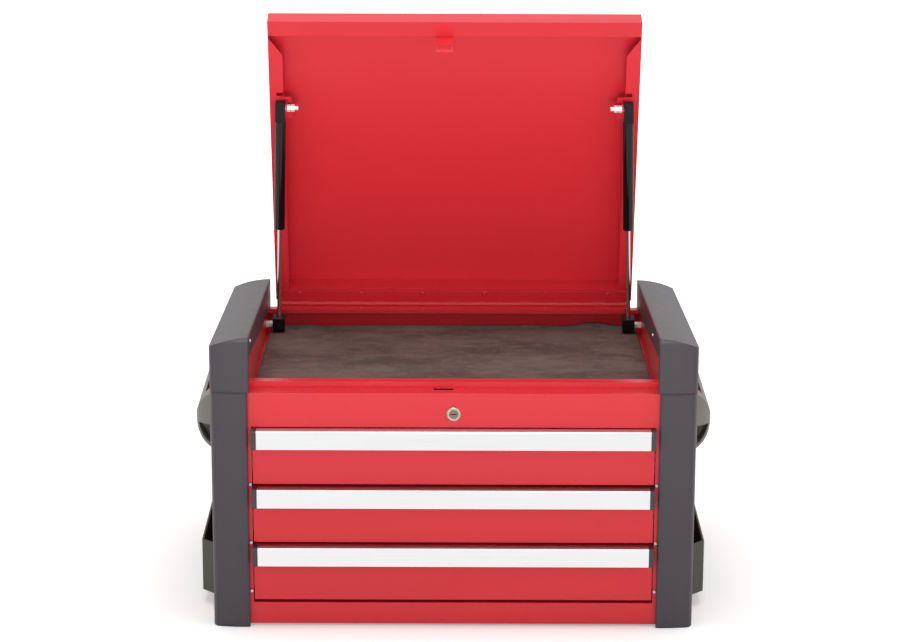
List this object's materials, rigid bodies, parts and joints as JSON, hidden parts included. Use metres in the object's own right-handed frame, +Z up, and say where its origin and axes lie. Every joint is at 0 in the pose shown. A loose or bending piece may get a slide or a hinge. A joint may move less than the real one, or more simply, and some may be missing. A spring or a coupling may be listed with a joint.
{
  "type": "portable tool chest",
  "caption": "Portable red steel tool chest with drawers on telescopic slides, an open lid on gas struts, dark plastic corner posts and caps, side handles and side pockets.",
  "frame": {"origin": "on the floor under the middle of the chest's bounding box, which includes the open lid", "axes": "+X to the right seen from the front, +Y to the rear (the drawers face -Y), +Z up"},
  "size_m": [0.704, 0.4939, 0.7777],
  "materials": {
    "red_paint": "gloss",
    "dark_plastic": "satin",
    "grey_plastic": "satin",
    "olive_plastic": "matte",
    "aluminium": "satin",
    "zinc": "satin",
    "chrome": "polished",
    "black_paint": "gloss",
    "black_plastic": "satin",
    "felt": "matte"
  },
  "bodies": {
    "body": {"side_panel_left": "red_paint", "side_panel_right": "red_paint", "inner_side_left": "red_paint", "inner_side_right": "red_paint", "back_panel": "red_paint", "base_panel": "red_paint", "header_panel": "red_paint", "compartment_floor": "red_paint", "rear_shelf": "red_paint", "corner_post_left": "dark_plastic", "corner_post_right": "dark_plastic", "side_cap_left": "dark_plastic", "side_cap_right": "dark_plastic", "side_handle_left": "grey_plastic", "side_handle_right": "grey_plastic", "side_pocket_left": "olive_plastic", "side_pocket_right": "olive_plastic", "hinge_leaf_body": "red_paint", "hinge_pin": "zinc", "body_rivets": "red_paint", "lower_studs": "zinc", "compartment_mat": "felt", "lock_housing": "chrome", "screws": "zinc", "slides_outer": "zinc"},
    "slide_middle_1": {"slides_middle_1": "zinc"},
    "slide_middle_2": {"slides_middle_2": "zinc"},
    "slide_middle_3": {"slides_middle_3": "zinc"},
    "drawer_1": {"drawer_tray_1": "red_paint", "drawer_front_1": "red_paint", "grip_rail_1": "aluminium", "grip_caps_1": "dark_plastic", "slides_inner_1": "zinc"},
    "drawer_2": {"drawer_tray_2": "red_paint", "drawer_front_2": "red_paint", "grip_rail_2": "aluminium", "grip_caps_2": "dark_plastic", "slides_inner_2": "zinc"},
    "drawer_3": {"drawer_tray_3": "red_paint", "drawer_front_3": "red_paint", "grip_rail_3": "aluminium", "grip_caps_3": "dark_plastic", "slides_inner_3": "zinc"},
    "lid": {"lid_panel": "red_paint", "hinge_leaf_lid": "red_paint", "lid_rivets": "red_paint", "striker_tab": "red_paint", "upper_studs": "zinc"},
    "lock": {"lock_barrel": "chrome", "lock_cam": "zinc"},
    "latch": {"latch_lever": "zinc"},
    "drawer_lock": {"lock_bar": "zinc"},
    "rod_left": {"strut_rod_left": "chrome", "lower_socket_left": "black_plastic"},
    "cylinder_left": {"gas_cylinder_left": "black_paint", "upper_socket_left": "black_plastic"},
    "rod_right": {"strut_rod_right": "chrome", "lower_socket_right": "black_plastic"},
    "cylinder_right": {"gas_cylinder_right": "black_paint", "upper_socket_right": "black_plastic"}
  },
  "joints": [
    {"name": "lid_hinge", "type": "hinge", "parent": "body", "child": "lid", "pos_m": [0, 0.2225, 0.3324], "axis": [1, 0, 0], "range_deg": [0, 74.3]},
    {"name": "drawer_1_slide", "type": "slide", "parent": "body", "child": "drawer_1", "axis": [0, -1, 0], "range_m": [0, 0.38]},
    {"name": "slide_middle_1_slide", "type": "slide", "parent": "body", "child": "slide_middle_1", "axis": [0, -1, 0], "range_m": [0, 0.19]},
    {"name": "drawer_2_slide", "type": "slide", "parent": "body", "child": "drawer_2", "axis": [0, -1, 0], "range_m": [0, 0.38]},
    {"name": "slide_middle_2_slide", "type": "slide", "parent": "body", "child": "slide_middle_2", "axis": [0, -1, 0], "range_m": [0, 0.19]},
    {"name": "drawer_3_slide", "type": "slide", "parent": "body", "child": "drawer_3", "axis": [0, -1, 0], "range_m": [0, 0.38]},
    {"name": "slide_middle_3_slide", "type": "slide", "parent": "body", "child": "slide_middle_3", "axis": [0, -1, 0], "range_m": [0, 0.19]},
    {"name": "lock_turn", "type": "hinge", "parent": "body", "child": "lock", "pos_m": [0, -0.229, 0.299], "axis": [0, -1, 0], "range_deg": [0, 90]},
    {"name": "latch_tilt", "type": "hinge", "parent": "body", "child": "latch", "pos_m": [-0.01625, -0.2155, 0.2845], "axis": [1, 0, 0], "range_deg": [-22, 0]},
    {"name": "drawer_lock_slide", "type": "slide", "parent": "body", "child": "drawer_lock", "axis": [0, 0, -1], "range_m": [0, 0.006]},
    {"name": "strut_left_tilt", "type": "hinge", "parent": "body", "child": "rod_left", "pos_m": [-0.255, 0.17, 0.315], "axis": [1, 0, 0], "range_deg": [0, 80.7]},
    {"name": "strut_left_stroke", "type": "slide", "parent": "rod_left", "child": "cylinder_left", "axis": [0.0271, -0.143, 0.9894], "range_m": [-0.0579, 0]},
    {"name": "strut_right_tilt", "type": "hinge", "parent": "body", "child": "rod_right", "pos_m": [0.255, 0.17, 0.315], "axis": [1, 0, 0], "range_deg": [0, 80.7]},
    {"name": "strut_right_stroke", "type": "slide", "parent": "rod_right", "child": "cylinder_right", "axis": [-0.0271, -0.143, 0.9894], "range_m": [-0.0579, 0]}
  ],
  "couplings": [
    {"joint": "slide_middle_1_slide", "follows": "drawer_1_slide", "ratio": 0.5},
    {"joint": "slide_middle_2_slide", "follows": "drawer_2_slide", "ratio": 0.5},
    {"joint": "slide_middle_3_slide", "follows": "drawer_3_slide", "ratio": 0.5},
    {"joint": "latch_tilt", "follows": "drawer_lock_slide", "rad_per_m": -63.994},
    {"joint": "lock_turn", "follows": "drawer_lock_slide", "rad_per_m": 261.8},
    {"joint": "strut_left_tilt", "follows": "lid_hinge", "ratio": 1.0855},
    {"joint": "strut_left_stroke", "follows": "lid_hinge", "m_per_rad": -0.044565},
    {"joint": "strut_right_tilt", "follows": "lid_hinge", "ratio": 1.0855},
    {"joint": "strut_right_stroke", "follows": "lid_hinge", "m_per_rad": -0.044565}
  ]
}
